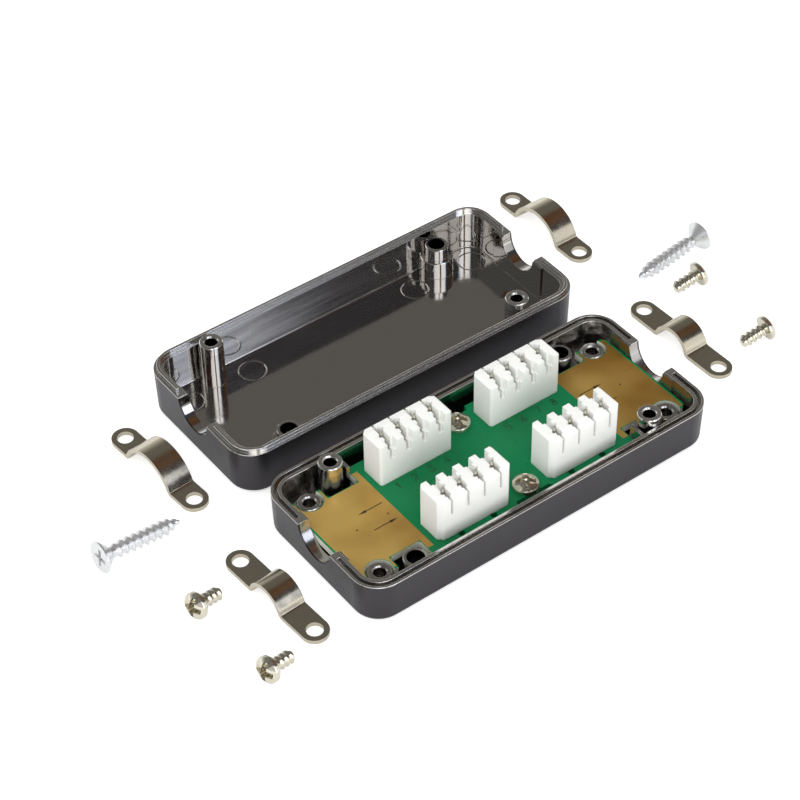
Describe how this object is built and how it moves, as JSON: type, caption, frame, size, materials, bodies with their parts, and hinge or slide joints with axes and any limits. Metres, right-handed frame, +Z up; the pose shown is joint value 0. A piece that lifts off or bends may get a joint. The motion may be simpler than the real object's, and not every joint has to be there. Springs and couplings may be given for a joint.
{
  "type": "cable junction box",
  "caption": "Shielded inline junction box for data cable, taken apart: two shell halves, wiring board with punch-down terminal blocks, strap clamps and screws.",
  "frame": {"origin": "middle of the base half's flat underside", "axes": "+X along the box, +Y from the base half to the lid half, +Z up out of the open base"},
  "size_m": [0.1592, 0.0884, 0.017],
  "materials": {
    "shell": "metallised dark nickel over moulded plastic",
    "board": "solder-masked glass epoxy with gilded pads",
    "block": "moulded",
    "contact": "tinned bronze",
    "clamp": "nickel plated",
    "nickel_screw": "nickel plated",
    "zinc_screw": "bright zinc"
  },
  "bodies": {
    "root": {"base_shell": "shell", "board_screw_1": "nickel_screw", "board_screw_2": "nickel_screw", "circuit_board": "board", "clamp_screw_1": "nickel_screw", "clamp_screw_2": "nickel_screw", "clamp_screw_3": "nickel_screw", "clamp_screw_4": "nickel_screw", "closing_screw_1": "zinc_screw", "closing_screw_2": "zinc_screw", "contact_1_1": "contact", "contact_1_2": "contact", "contact_1_3": "contact", "contact_1_4": "contact", "contact_2_1": "contact", "contact_2_2": "contact", "contact_2_3": "contact", "contact_2_4": "contact", "contact_3_1": "contact", "contact_3_2": "contact", "contact_3_3": "contact", "contact_3_4": "contact", "contact_4_1": "contact", "contact_4_2": "contact", "contact_4_3": "contact", "contact_4_4": "contact", "lid_shell": "shell", "narrow_clamp_1": "clamp", "narrow_clamp_2": "clamp", "terminal_block_1": "block", "terminal_block_2": "block", "terminal_block_3": "block", "terminal_block_4": "block", "wide_clamp_1": "clamp", "wide_clamp_2": "clamp"}
  },
  "joints": []
}
